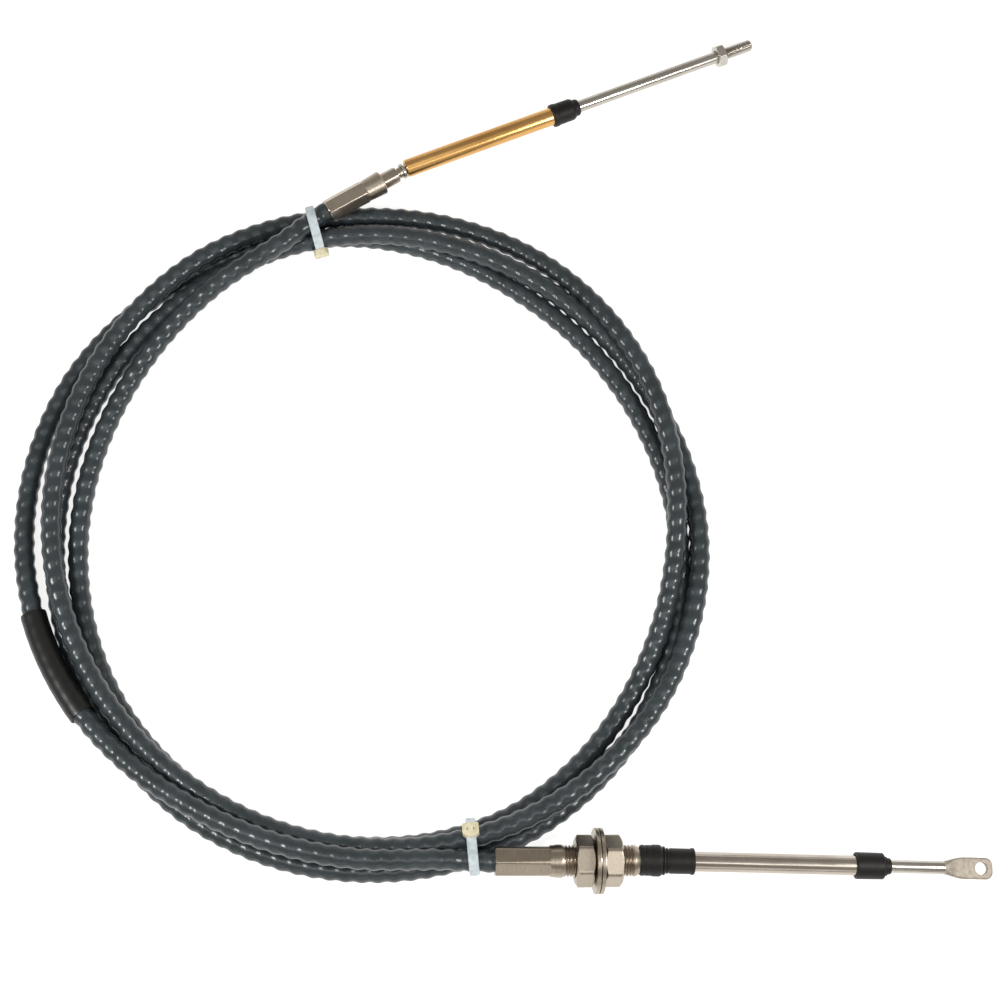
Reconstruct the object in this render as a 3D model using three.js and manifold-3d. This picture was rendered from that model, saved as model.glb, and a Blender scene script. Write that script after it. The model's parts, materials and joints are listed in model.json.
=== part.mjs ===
// A push-pull control cable for a boat's reverse gear, coiled in three and a half loose turns.
// Sizes are in millimetres. The cable lies on the floor, +Z up. Fitting A has a brass support tube and
// a threaded rod, and fitting B passes through a bulkhead and ends in a flattened eye. Each fitting is
// built along its own X axis.
import * as THREE from "three";
import { ConvexGeometry } from "three/addons/geometries/ConvexGeometry.js";
import { mergeVertices } from "three/addons/utils/BufferGeometryUtils.js";
import Module from "manifold-3d";

const wasm = await Module();
wasm.setup();

// The clearance between pieces that touch.
const gap = 0.3;

// The conduit: a steel core under a plastic jacket.
const conduitDiameter = 10;
const conduitSides = 12;
const stepDegrees = 15;
const leadLength = 6;

// The coil, read from the fitting A end. Each row is one turn and starts at 120 degrees, counted from +X
// round +Z, with a value every 30 degrees: how far the conduit's centre is from the coil's middle, and how
// high it is where it lies on the turns below it.
const stationDegrees = 30;
const firstStation = 120;
const turnRadii = [
  [157.5, 150, 146, 146, 148, 151, 156, 156, 159.5, 170.5, 180, 180.5],
  [176.5, 167.5, 157, 149, 147, 151.5, 160.5, 169, 172, 169.5, 167.5, 166.5],
  [165, 162.5, 158, 156.5, 159.5, 163, 166.8, 167, 162.5, 158.5, 160, 168.5],
  [175, 178.5, 173.5, 162.5, 154, 157],
];
const turnHeights = [
  [20, 7.5, 5.2, 5.2, 5.2, 5.2, 5.2, 6.5, 15.2, 15.6, 8, 6.4],
  [15.4, 15, 15.6, 15.6, 15.6, 15.6, 15.4, 15.5, 9.7, 5.2, 12.4, 15.6],
  [10.2, 5.2, 5.2, 5.2, 5.2, 5.2, 5.2, 5.2, 5.2, 5.2, 5.2, 5.2],
  [5.2, 5.2, 6.2, 15.8, 23, 24.4],
];
const coilStart = { degrees: 105, radius: 165, height: 24.4 };
const coilEnd = { degrees: 1365, radius: 163, height: 22.8 };

// Cable ties round all the strands, which lift the coil by the strap under it. Each lies in an upright plane
// with its own heading, so far to the left of the coil's middle, and its head leans up from facing inwards.
const tieTop = { degrees: 98.5, heading: 105.5, aside: -18.3, headLean: -8, headSlide: 0 };
const tieBottom = { degrees: 289, heading: 275.7, aside: 41.6, headLean: 64, headSlide: -0.5 };
const strapWidth = 4.8;
const strapThickness = 1.2;
const strapSlack = 0.4;
const tieHead = { width: 8, height: 3.6, length: 6.8 };
const liftReach = 45;

// The blank label sleeve round the last turn.
const sleeveStart = 1272.4;
const sleeveEnd = 1292.9;
const sleeveDiameter = 13;

// Fitting A: the hub's swaged end, then its swivel, the brass tube, the rubber wiper and the rod.
const fittingA = { x: -21.3, y: 177.8, z: 21, heading: 32, drop: 3.5 };
const tubeHeadingA = 23.1;
const hubA = { flats: 10.8, hex: 23.2, turn: 6, collar: 12.8, collarLength: 10.5, nose: 8.8, noseLength: 9.2 };
const stemA = { diameter: 6, length: 4.7, neck: 4.6, toBall: 8.1, ball: 6.4 };
const ringA = { diameter: 8.6, thickness: 1.4, fromNose: 3 };
const tubeA = { diameter: 9.5, bore: 7.2, mouth: 6.2, lip: 8.2, beforeBall: 2.4, lipLength: 2, length: 96 };
const wiperA = { lip: 12.3, lipLength: 3, body: 11.7, length: 12.6, overTube: 10.3 };
const wiperNoseA = { diameter: 8.8, length: 3.2, tipInset: 0.4 };
const rodA = { diameter: 6.35, insideTube: 38.6, beyondWiper: 104.9, chamfer: 0.8 };
const jamNutA = { flats: 11.1, thickness: 4.7, fromTip: 21.2, chamfer: 0.6 };

// Fitting B: the bulkhead hub with its two nuts and washers, the swivel under its boot, the steel tube and
// the rod with its eye.
const fittingB = { x: 67.7, y: -158.3, z: 20, heading: 0.4, drop: 4.75 };
const tubeAimB = { heading: -1.3, drop: 3.2 };
const hubB = { flats: 13.1, hex: 27.3, turn: -24,collar: 15.8, collarLength: 5.6 };
const threadB = { diameter: 15.1, length: 34.3 };
const socketDepth = 11;
const hubNoseB = { chamferLength: 2.8, diameter: 11.4, length: 10, pastBall: 2, socket: 9.8, mouth: 8.6 };
const nutB = { flats: 22, thickness: 9, chamfer: 1.2, fromCollar: 5.8 };
const nutTurnB = 7;
const washerB = { diameter: 31.6, thickness: 1.9 };
const bootB = { cuff: 14.5, cuffLength: 3, bulge: 15.1, bulgeRise: 3, pastNose: 1.9, bulgeFall: 1.2 };
const bootSleeveB = { groove: 11.6, grooveLength: 1.5, step: 0.5, diameter: 12.1, length: 14.9 };
const tubeB = { diameter: 9.5, bore: 7.2, ball: 9, neck: 6.4, neckLength: 5, length: 110 };
const wiperB = { body: 12.8, length: 13.6, overTube: 12 };
const wiperNoseB = { step: 8.8, stepLength: 1.9, diameter: 7.7, length: 1.8 };
const rodB = { diameter: 6.35, insideTube: 70, beyondWiper: 26.5, taper: 6.5 };
const eyeB = { width: 10.4, thickness: 3, length: 17.4, hole: 6.4, holeFromTip: 5.6 };

const roundSides = 32;
const radians = THREE.MathUtils.degToRad;

// Solids

function solidOf(geometry) {
  const bare = geometry.clone();
  bare.deleteAttribute("normal");
  bare.deleteAttribute("uv");
  const merged = mergeVertices(bare, 1e-4);
  return new wasm.Manifold(
    new wasm.Mesh({
      numProp: 3,
      vertProperties: merged.attributes.position.array,
      triVerts: new Uint32Array(merged.index.array),
    }),
  );
}

function geometryOf(solid) {
  const made = solid.getMesh();
  const geometry = new THREE.BufferGeometry();
  geometry.setAttribute("position", new THREE.BufferAttribute(made.vertProperties, 3));
  geometry.setIndex(new THREE.BufferAttribute(made.triVerts, 1));
  const loose = geometry.toNonIndexed();
  loose.computeVertexNormals();
  return loose;
}

// A profile of [distance along X, radius] turned about X. It starts and ends on the axis or closes on itself.
function turned(profile, sides = roundSides) {
  const points = profile.map(([along, radius]) => new THREE.Vector2(radius, along));
  return new THREE.LatheGeometry(points, sides).rotateZ(-Math.PI / 2);
}

function rod(from, to, diameter, chamfer = 0) {
  const radius = diameter / 2;
  const profile = [[from, 0], [from, radius], [to - chamfer, radius]];
  if (chamfer > 0) profile.push([to, radius - chamfer]);
  profile.push([to, 0]);
  return turned(profile);
}

function pipe(from, to, outside, inside) {
  const corners = [[from, inside / 2], [from, outside / 2], [to, outside / 2], [to, inside / 2]];
  return turned([...corners, corners[0]]);
}

// A six-sided bar along X with a flat on top, its corners rounded off at both ends where it has a chamfer.
function hexBar(from, to, flats, chamfer = 0) {
  const corner = flats / 2 / Math.cos(Math.PI / 6);
  const outline = new THREE.Shape();
  for (let i = 0; i < 6; i++) {
    const angle = (i * Math.PI) / 3;
    outline.lineTo(corner * Math.cos(angle), corner * Math.sin(angle));
  }
  const bar = new THREE.ExtrudeGeometry(outline, { depth: to - from, bevelEnabled: false });
  bar.rotateY(Math.PI / 2).rotateX(Math.PI / 2).translate(from, 0, 0);
  if (chamfer === 0) return solidOf(bar);
  const rim = corner - chamfer;
  const rise = chamfer * Math.tan(radians(30));
  const widest = corner + 0.01;
  const cone = [[from, 0], [from, rim], [from + rise, widest], [to - rise, widest], [to, rim], [to, 0]];
  return solidOf(bar).intersect(solidOf(turned(cone)));
}

// The cable's route

const stations = [];
stations.push([coilStart.degrees, coilStart.radius, coilStart.height]);
turnRadii.forEach((row, turn) =>
  row.forEach((radius, i) => {
    const degrees = firstStation + turn * 360 + i * stationDegrees;
    stations.push([degrees, radius, turnHeights[turn][i]]);
  }),
);
stations.push([coilEnd.degrees, coilEnd.radius, coilEnd.height]);
const shape = new THREE.CubicInterpolant(
  stations.map(([degrees]) => degrees),
  stations.flatMap(([, radius, height]) => [radius, height]),
  2,
);

function degreesApart(a, b) {
  return Math.abs(THREE.MathUtils.euclideanModulo(a - b + 180, 360) - 180);
}

// How far the strap of the nearest cable tie lifts every strand at this angle.
function lift(degrees) {
  const apart = Math.min(degreesApart(degrees, tieTop.degrees), degreesApart(degrees, tieBottom.degrees));
  const near = Math.max(0, 1 - apart / liftReach);
  return (strapThickness + gap) * near * near * (3 - 2 * near);
}

function coilPoint(degrees) {
  const [radius, height] = shape.evaluate(degrees);
  const angle = radians(degrees);
  return new THREE.Vector3(radius * Math.cos(angle), radius * Math.sin(angle), height + lift(degrees));
}

// The fittings' places: X runs along each one, turned by its heading and dropping towards its tip.
function placed(x, y, z, heading, drop) {
  const group = new THREE.Group();
  group.position.set(x, y, z);
  group.rotation.set(0, radians(drop), radians(heading), "ZYX");
  group.updateMatrixWorld(true);
  return group;
}

const hubGroupA = placed(fittingA.x, fittingA.y, fittingA.z, fittingA.heading, fittingA.drop);
const hubGroupB = placed(fittingB.x, fittingB.y, fittingB.z, fittingB.heading, fittingB.drop);
const route = [
  hubGroupA.localToWorld(new THREE.Vector3(-gap, 0, 0)),
  hubGroupA.localToWorld(new THREE.Vector3(-leadLength, 0, 0)),
];
for (let degrees = coilStart.degrees; degrees <= coilEnd.degrees; degrees += stepDegrees) {
  route.push(coilPoint(degrees));
}
route.push(hubGroupB.localToWorld(new THREE.Vector3(-leadLength, 0, 0)));
route.push(hubGroupB.localToWorld(new THREE.Vector3(socketDepth - gap, 0, 0)));

// A curve that keeps its rings at the route's own points, so that neighbouring turns bend side by side.
class Strand extends THREE.CatmullRomCurve3 {
  getUtoTmapping(u) {
    return u;
  }
}

function ringShape(radius, holeRadius = 0) {
  const circle = (r) =>
    Array.from({ length: conduitSides }, (_, i) => {
      const angle = (2 * Math.PI * i) / conduitSides;
      return new THREE.Vector2(r * Math.cos(angle), r * Math.sin(angle));
    });
  const outline = new THREE.Shape(circle(radius));
  if (holeRadius > 0) outline.holes.push(new THREE.Path(circle(holeRadius)));
  return outline;
}

function alongStrand(outline, points) {
  return new THREE.ExtrudeGeometry(outline, {
    steps: points.length - 1,
    extrudePath: new Strand(points),
    bevelEnabled: false,
  });
}

// Colours

function finish(color, roughness, metalness) {
  return new THREE.MeshStandardMaterial({ color, roughness, metalness });
}

const jacket = finish(0x30383c, 0.4, 0);
const sleeveBlack = finish(0x1c1f21, 0.5, 0);
const rubber = finish(0x17191a, 0.6, 0);
const nylon = finish(0xe4e2d4, 0.5, 0);
const steel = finish(0xb9b4ab, 0.3, 1);
const brightSteel = finish(0xcfcfcf, 0.2, 1);
const brass = finish(0xc08a3e, 0.28, 1);

const cable = new THREE.Group();

function add(parent, name, part, material) {
  const geometry = part instanceof wasm.Manifold ? geometryOf(part) : part;
  const mesh = new THREE.Mesh(geometry, material);
  mesh.name = name;
  parent.add(mesh);
}

// Conduit and label sleeve

add(cable, "conduit", alongStrand(ringShape(conduitDiameter / 2), route), jacket);

// The sleeve bends where the conduit bends, so its own ends lie on the straight steps between the rings.
function stepPoint(degrees) {
  const before = Math.floor(degrees / stepDegrees) * stepDegrees;
  return coilPoint(before).lerp(coilPoint(before + stepDegrees), (degrees - before) / stepDegrees);
}

const borePadding = (conduitDiameter / 2 + gap) / Math.cos(Math.PI / conduitSides);
const sleevePoints = [stepPoint(sleeveStart)];
const firstRing = Math.ceil(sleeveStart / stepDegrees) * stepDegrees;
for (let degrees = firstRing; degrees < sleeveEnd; degrees += stepDegrees) {
  sleevePoints.push(coilPoint(degrees));
}
sleevePoints.push(stepPoint(sleeveEnd));
const sleeveRing = ringShape(sleeveDiameter / 2, borePadding);
add(cable, "label_sleeve", alongStrand(sleeveRing, sleevePoints), sleeveBlack);

// Cable ties: a strap drawn tight round the outline of all the strands, with its head on the inner side.

function hullOf(points) {
  const sorted = [...points].sort((a, b) => a.x - b.x || a.y - b.y);
  const half = (list) => {
    const chain = [];
    for (const p of list) {
      while (chain.length > 1) {
        const a = chain[chain.length - 2];
        const b = chain[chain.length - 1];
        if ((b.x - a.x) * (p.y - a.y) - (b.y - a.y) * (p.x - a.x) > 1e-9) break;
        chain.pop();
      }
      chain.push(p);
    }
    chain.pop();
    return chain;
  };
  return [...half(sorted), ...half(sorted.reverse())];
}

// Where the conduit crosses the tie's plane, or one beside it, as distance along the heading and height.
function crossings(tieGroup, aside) {
  const found = [];
  const line = route.map((point) => tieGroup.worldToLocal(point.clone()));
  for (let i = 0; i + 1 < line.length; i++) {
    const before = line[i].y - aside;
    const after = line[i + 1].y - aside;
    if (before * after > 0) continue;
    const point = line[i].clone().lerp(line[i + 1], before / (before - after));
    if (point.x > 0) found.push(new THREE.Vector2(point.x, point.z));
  }
  return found;
}

// A band drawn round all the strands that cross within this reach of the tie's plane.
function tieOutline(tieGroup, reach, margin) {
  const rim = conduitDiameter / 2 + margin;
  const points = [];
  for (const aside of [-reach, 0, reach]) {
    for (const centre of crossings(tieGroup, aside)) {
      for (let i = 0; i < 24; i++) {
        const angle = (i * Math.PI) / 12;
        points.push(new THREE.Vector2(centre.x + rim * Math.cos(angle), centre.y + rim * Math.sin(angle)));
      }
    }
  }
  return hullOf(points);
}

function addTie(name, { heading, aside, headLean, headSlide }) {
  const foot = new THREE.Vector2(0, aside).rotateAround(new THREE.Vector2(), radians(heading));
  const tieGroup = placed(foot.x, foot.y, 0, heading, 0);
  const slab = (margin) => {
    const outline = new THREE.Shape(tieOutline(tieGroup, strapWidth / 2, margin));
    const flat = new THREE.ExtrudeGeometry(outline, { depth: strapWidth, bevelEnabled: false });
    return solidOf(flat.translate(0, 0, -strapWidth / 2));
  };
  const strap = slab(strapSlack + strapThickness).subtract(slab(strapSlack));
  const out = new THREE.Vector2(-1, 0).rotateAround(new THREE.Vector2(), -radians(headLean));
  const held = tieOutline(tieGroup, tieHead.width / 2, strapSlack);
  const seat = held.reduce((best, point) => (point.dot(out) > best.dot(out) ? point : best));
  const head = new THREE.BoxGeometry(tieHead.height, tieHead.length, tieHead.width);
  head.translate(tieHead.height / 2, headSlide, 0).rotateZ(out.angle()).translate(seat.x, seat.y, 0);
  const whole = strap.add(solidOf(head));
  add(tieGroup, name, geometryOf(whole).rotateX(Math.PI / 2), nylon);
  cable.add(tieGroup);
}

addTie("cable_tie_top", tieTop);
addTie("cable_tie_bottom", tieBottom);

// Fitting A

const noseEndA = hubA.hex + hubA.collarLength + hubA.noseLength;
const ballAtA = noseEndA + stemA.toBall;

function ball(at, diameter) {
  return solidOf(new THREE.SphereGeometry(diameter / 2, 24, 16).translate(at, 0, 0));
}

const hubBodyA = solidOf(
  turned([
    [hubA.hex - 1, 0],
    [hubA.hex - 1, hubA.flats / 2],
    [hubA.hex, hubA.flats / 2 + gap],
    [hubA.hex + hubA.collarLength, hubA.collar / 2],
    [hubA.hex + hubA.collarLength, hubA.nose / 2],
    [noseEndA, hubA.nose / 2],
    [noseEndA, stemA.diameter / 2],
    [noseEndA + stemA.length, stemA.diameter / 2],
    [noseEndA + stemA.length, stemA.neck / 2],
    [ballAtA, stemA.neck / 2],
    [ballAtA, 0],
  ]),
)
  .add(hexBar(0, hubA.hex, hubA.flats).rotate([hubA.turn, 0, 0]))
  .add(ball(ballAtA, stemA.ball));
add(hubGroupA, "hub_a", hubBodyA, steel);

const ringStartA = noseEndA + ringA.fromNose;
const ringEndA = ringStartA + ringA.thickness;
const ringBoreA = stemA.diameter + 2 * gap;
add(hubGroupA, "swivel_ring_a", pipe(ringStartA, ringEndA, ringA.diameter, ringBoreA), steel);

const ballA = hubGroupA.localToWorld(new THREE.Vector3(ballAtA, 0, 0));
const tubeGroupA = placed(ballA.x, ballA.y, ballA.z, tubeHeadingA, fittingA.drop);
const tubeEndA = tubeA.length - tubeA.beforeBall;
add(
  tubeGroupA,
  "support_tube_a",
  turned([
    [-tubeA.beforeBall, tubeA.mouth / 2],
    [-tubeA.beforeBall, tubeA.lip / 2],
    [-tubeA.beforeBall + tubeA.lipLength, tubeA.diameter / 2],
    [tubeEndA, tubeA.diameter / 2],
    [tubeEndA, tubeA.bore / 2],
    [-tubeA.beforeBall + tubeA.lipLength / 2, tubeA.bore / 2],
    [-tubeA.beforeBall + tubeA.lipLength / 2, tubeA.mouth / 2],
    [-tubeA.beforeBall, tubeA.mouth / 2],
  ]),
  brass,
);

const wiperStartA = tubeEndA - wiperA.overTube;
const wiperEndA = wiperStartA + wiperA.length;
const noseTipA = wiperEndA + wiperNoseA.length;
const wiperBoreA = tubeA.diameter / 2 + gap;
add(
  tubeGroupA,
  "wiper_a",
  turned([
    [wiperStartA, wiperBoreA],
    [wiperStartA, wiperA.lip / 2],
    [wiperStartA + wiperA.lipLength, wiperA.lip / 2],
    [wiperStartA + wiperA.lipLength, wiperA.body / 2],
    [wiperEndA, wiperA.body / 2],
    [wiperEndA, wiperNoseA.diameter / 2],
    [noseTipA, wiperNoseA.diameter / 2 - wiperNoseA.tipInset],
    [noseTipA, rodA.diameter / 2 + gap],
    [tubeEndA + gap, rodA.diameter / 2 + gap],
    [tubeEndA + gap, wiperBoreA],
    [wiperStartA, wiperBoreA],
  ]),
  rubber,
);

const tipA = noseTipA + rodA.beyondWiper;
add(tubeGroupA, "rod_a", rod(tubeEndA - rodA.insideTube, tipA, rodA.diameter, rodA.chamfer), brightSteel);

const nutStartA = tipA - jamNutA.fromTip;
const nutEndA = nutStartA + jamNutA.thickness;
const nutBoreA = rod(nutStartA - 1, nutEndA + 1, rodA.diameter + 2 * gap);
const jamNut = hexBar(nutStartA, nutEndA, jamNutA.flats, jamNutA.chamfer).subtract(solidOf(nutBoreA));
add(tubeGroupA, "jam_nut_a", jamNut, brightSteel);

// Fitting B

const threadStartB = hubB.hex + hubB.collarLength;
const threadEndB = threadStartB + threadB.length;
const noseStartB = threadEndB + hubNoseB.chamferLength;
const noseEndB = noseStartB + hubNoseB.length;
const ballAtB = noseEndB - hubNoseB.pastBall;
const socketBallB = ball(ballAtB, hubNoseB.socket);
const hubBodyB = solidOf(
  turned([
    [hubB.hex - 1, 0],
    [hubB.hex - 1, hubB.collar / 2],
    [threadStartB, hubB.collar / 2],
    [threadStartB, threadB.diameter / 2],
    [threadEndB, threadB.diameter / 2],
    [noseStartB, hubNoseB.diameter / 2 + 2 * gap],
    [noseStartB, hubNoseB.diameter / 2],
    [noseEndB, hubNoseB.diameter / 2],
    [noseEndB, 0],
  ]),
)
  .add(hexBar(0, hubB.hex, hubB.flats).rotate([hubB.turn, 0, 0]))
  .subtract(solidOf(rod(-1, socketDepth, 2 * borePadding)))
  .subtract(socketBallB)
  .subtract(solidOf(rod(ballAtB, noseEndB + 1, hubNoseB.mouth)));
add(hubGroupB, "hub_b", hubBodyB, steel);

// Both nuts and both washers sit on the thread, one after the other.
const nutBoreB = threadB.diameter + 2 * gap;
function bulkheadNut(name, start, turn) {
  const bore = solidOf(rod(start - 1, start + nutB.thickness + 1, nutBoreB));
  const nut = hexBar(start, start + nutB.thickness, nutB.flats, nutB.chamfer).subtract(bore);
  add(hubGroupB, name, geometryOf(nut).rotateX(radians(turn)), steel);
  return start + nutB.thickness + gap;
}

function washer(name, start) {
  add(hubGroupB, name, pipe(start, start + washerB.thickness, washerB.diameter, nutBoreB), brightSteel);
  return start + washerB.thickness + gap;
}

const washerStart1 = bulkheadNut("bulkhead_nut_1", threadStartB + nutB.fromCollar, 0);
const washerStart2 = washer("washer_1", washerStart1);
const nutStart2 = washer("washer_2", washerStart2);
bulkheadNut("bulkhead_nut_2", nutStart2, nutTurnB);

const ballB = hubGroupB.localToWorld(new THREE.Vector3(ballAtB, 0, 0));
const tubeGroupB = placed(ballB.x, ballB.y, ballB.z, tubeAimB.heading, tubeAimB.drop);

// The boot's sleeve holds on the tube, and its wider cuff covers the hub's nose with room for it to tilt.
const cuffBoreB = hubNoseB.diameter / 2 + 2.5 * gap;
const sleeveBoreB = tubeB.diameter / 2 + gap;
const bootStartB = noseStartB - ballAtB + gap;
const bootShoulderB = hubNoseB.pastBall + bootB.pastNose;
const bulgeStartB = bootStartB + bootB.cuffLength + bootB.bulgeRise;
const grooveEndB = bootShoulderB + bootSleeveB.grooveLength;
const bootEndB = bootShoulderB + bootSleeveB.length;
add(
  tubeGroupB,
  "boot_b",
  turned([
    [bootStartB, cuffBoreB],
    [bootStartB, bootB.cuff / 2],
    [bulgeStartB - bootB.bulgeRise, bootB.cuff / 2],
    [bulgeStartB, bootB.bulge / 2],
    [bootShoulderB - bootB.bulgeFall, bootB.bulge / 2],
    [bootShoulderB, bootSleeveB.groove / 2],
    [grooveEndB, bootSleeveB.groove / 2],
    [grooveEndB + bootSleeveB.step, bootSleeveB.diameter / 2],
    [bootEndB, bootSleeveB.diameter / 2],
    [bootEndB, sleeveBoreB],
    [hubNoseB.pastBall + 4 * gap, sleeveBoreB],
    [hubNoseB.pastBall + 2 * gap, cuffBoreB],
    [bootStartB, cuffBoreB],
  ]),
  rubber,
);

const tubeBodyB = ball(0, tubeB.ball)
  .add(solidOf(rod(0, tubeB.neckLength, tubeB.neck)))
  .add(solidOf(rod(tubeB.neckLength - 0.5, tubeB.length, tubeB.diameter)))
  .subtract(solidOf(rod(tubeB.neckLength, tubeB.length + 1, tubeB.bore)));
add(tubeGroupB, "support_tube_b", tubeBodyB, brightSteel);

const wiperStartB = tubeB.length - wiperB.overTube;
const wiperEndB = wiperStartB + wiperB.length;
const stepEndB = wiperEndB + wiperNoseB.stepLength;
const noseTipB = stepEndB + wiperNoseB.length;
add(
  tubeGroupB,
  "wiper_b",
  turned([
    [wiperStartB, sleeveBoreB],
    [wiperStartB, wiperB.body / 2],
    [wiperEndB, wiperB.body / 2],
    [wiperEndB, wiperNoseB.step / 2],
    [stepEndB, wiperNoseB.step / 2],
    [stepEndB, wiperNoseB.diameter / 2],
    [noseTipB, wiperNoseB.diameter / 2],
    [noseTipB, rodB.diameter / 2 + gap],
    [tubeB.length + gap, rodB.diameter / 2 + gap],
    [tubeB.length + gap, sleeveBoreB],
    [wiperStartB, sleeveBoreB],
  ]),
  rubber,
);

// The rod's tip is flattened into a level blade with a round end and a hole.
function rodWithEye() {
  const taperStart = noseTipB + rodB.beyondWiper;
  const eyeStart = taperStart + rodB.taper;
  const tip = eyeStart + eyeB.length;
  const half = eyeB.width / 2;
  const shank = rod(tubeB.length - rodB.insideTube, taperStart + 0.5, rodB.diameter);
  const section = [];
  for (let i = 0; i < roundSides; i++) {
    const angle = (2 * Math.PI * i) / roundSides;
    const y = (rodB.diameter / 2) * Math.cos(angle);
    const z = (rodB.diameter / 2) * Math.sin(angle);
    section.push(new THREE.Vector3(taperStart, y, z));
  }
  for (const y of [-half, half]) {
    for (const z of [-eyeB.thickness / 2, eyeB.thickness / 2]) {
      section.push(new THREE.Vector3(eyeStart, y, z));
    }
  }
  const blade = new THREE.Shape();
  blade.moveTo(eyeStart - 0.5, 0.3 - half);
  blade.lineTo(eyeStart, -half);
  blade.absarc(tip - half, 0, half, -Math.PI / 2, Math.PI / 2, false);
  blade.lineTo(eyeStart, half);
  blade.lineTo(eyeStart - 0.5, half - 0.3);
  const hole = new THREE.Path();
  hole.absarc(tip - eyeB.holeFromTip, 0, eyeB.hole / 2, 0, 2 * Math.PI, true);
  blade.holes.push(hole);
  const cut = { depth: eyeB.thickness, bevelEnabled: false, curveSegments: 16 };
  const plate = new THREE.ExtrudeGeometry(blade, cut).translate(0, 0, -eyeB.thickness / 2);
  return solidOf(shank).add(solidOf(new ConvexGeometry(section))).add(solidOf(plate));
}

add(tubeGroupB, "rod_b", rodWithEye(), brightSteel);

// The part's origin is the middle of its footprint, on the floor.
cable.add(hubGroupA, tubeGroupA, hubGroupB, tubeGroupB);
cable.updateMatrixWorld(true);
const extent = new THREE.Box3().setFromObject(cable, true);
const middle = extent.getCenter(new THREE.Vector3());
cable.position.set(-middle.x, -middle.y, -extent.min.z);
cable.updateMatrixWorld(true);

export default cable;
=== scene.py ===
"""A push-pull control cable for a boat's reverse gear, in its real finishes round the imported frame."""
import json
import math

import bmesh
import bpy
import numpy as np
from mathutils import Matrix, Vector


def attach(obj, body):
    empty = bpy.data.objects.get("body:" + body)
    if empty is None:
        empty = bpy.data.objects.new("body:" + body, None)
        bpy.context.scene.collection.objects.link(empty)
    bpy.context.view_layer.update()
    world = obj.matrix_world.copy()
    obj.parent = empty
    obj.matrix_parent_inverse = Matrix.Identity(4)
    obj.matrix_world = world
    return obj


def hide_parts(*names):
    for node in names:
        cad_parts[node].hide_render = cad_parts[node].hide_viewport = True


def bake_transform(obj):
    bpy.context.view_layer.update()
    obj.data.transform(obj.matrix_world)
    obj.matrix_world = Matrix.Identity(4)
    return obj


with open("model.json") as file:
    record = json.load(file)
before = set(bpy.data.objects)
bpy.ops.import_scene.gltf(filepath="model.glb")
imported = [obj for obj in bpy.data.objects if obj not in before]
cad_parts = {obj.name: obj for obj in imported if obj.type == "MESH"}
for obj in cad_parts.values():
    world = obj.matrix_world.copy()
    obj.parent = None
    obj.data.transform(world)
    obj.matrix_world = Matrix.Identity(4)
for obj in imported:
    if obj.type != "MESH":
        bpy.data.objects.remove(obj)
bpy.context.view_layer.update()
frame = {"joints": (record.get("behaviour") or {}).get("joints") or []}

# Camera. The cable was seen from above and a little from its near side, with a short lens.
MM = 0.001
camera_place = Vector((4.0, -233.6, 812.4)) * MM
camera_target = Vector((4.0, -31.2, 0.0)) * MM
camera_data = bpy.data.cameras.new("camera")
camera_data.angle = math.radians(34.5)
camera_data.clip_start = 0.01
camera = bpy.data.objects.new("camera", camera_data)
camera.location = camera_place
camera.rotation_euler = (camera_target - camera_place).to_track_quat("-Z", "Y").to_euler()
bpy.context.scene.collection.objects.link(camera)
bpy.context.scene.camera = camera

# Conduit. A core wire and long-lay steel wires under a dark slate PVC jacket, which was extruded over a
# spiral wrap, so that one right-handed ridge winds round it from end to end. It is coiled in three and a
# half loose turns. Its wires are swaged in both hubs, and its jacket stops at hub A's face.
conduit_diameter = 10.0
lead_length = 6.0
hub_a_gap = 0.3
socket_depth_b = 10.7
coil_middle = Vector((-66.23, -56.75, 0.09))
station_degrees = 30
first_station = 120
step_degrees = 15
turn_radii = [
    [157.5, 150, 146, 146, 148, 151, 156, 156, 159.5, 170.5, 180, 180.5],
    [176.5, 167.5, 157, 149, 147, 151.5, 160.5, 169, 172, 169.5, 167.5, 166.5],
    [165, 162.5, 158, 156.5, 159.5, 163, 166.8, 167, 162.5, 158.5, 160, 168.5],
    [175, 178.5, 173.5, 162.5, 154, 157],
]
turn_heights = [
    [20, 7.5, 5.2, 5.2, 5.2, 5.2, 5.2, 6.5, 15.2, 15.6, 8, 6.4],
    [15.4, 15, 15.6, 15.6, 15.6, 15.6, 15.4, 15.5, 9.7, 5.2, 12.4, 15.6],
    [10.2, 5.2, 5.2, 5.2, 5.2, 5.2, 5.2, 5.2, 5.2, 5.2, 5.2, 5.2],
    [5.2, 5.2, 6.2, 15.8, 23, 24.4],
]
coil_start = (105, 165, 24.4)
coil_end = (1365, 163, 22.8)
tie_degrees = (98.5, 289)
strap_lift = 1.5
lift_reach = 45


def placed(x, y, z, heading, drop):
    """A fitting's own axes: X runs along it, turned by its heading and dropping towards its tip."""
    turn = Matrix.Rotation(math.radians(heading), 4, "Z") @ Matrix.Rotation(math.radians(drop), 4, "Y")
    return Matrix.Translation(coil_middle + Vector((x, y, z))) @ turn


hub_axes_a = placed(-21.3, 177.8, 21, 32, 3.5)
hub_axes_b = placed(67.7, -158.3, 20, 0.4, 4.75)

stations = [coil_start]
for turn, (radii, heights) in enumerate(zip(turn_radii, turn_heights)):
    for i, (radius, height) in enumerate(zip(radii, heights)):
        stations.append((first_station + 360 * turn + station_degrees * i, radius, height))
stations.append(coil_end)


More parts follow.
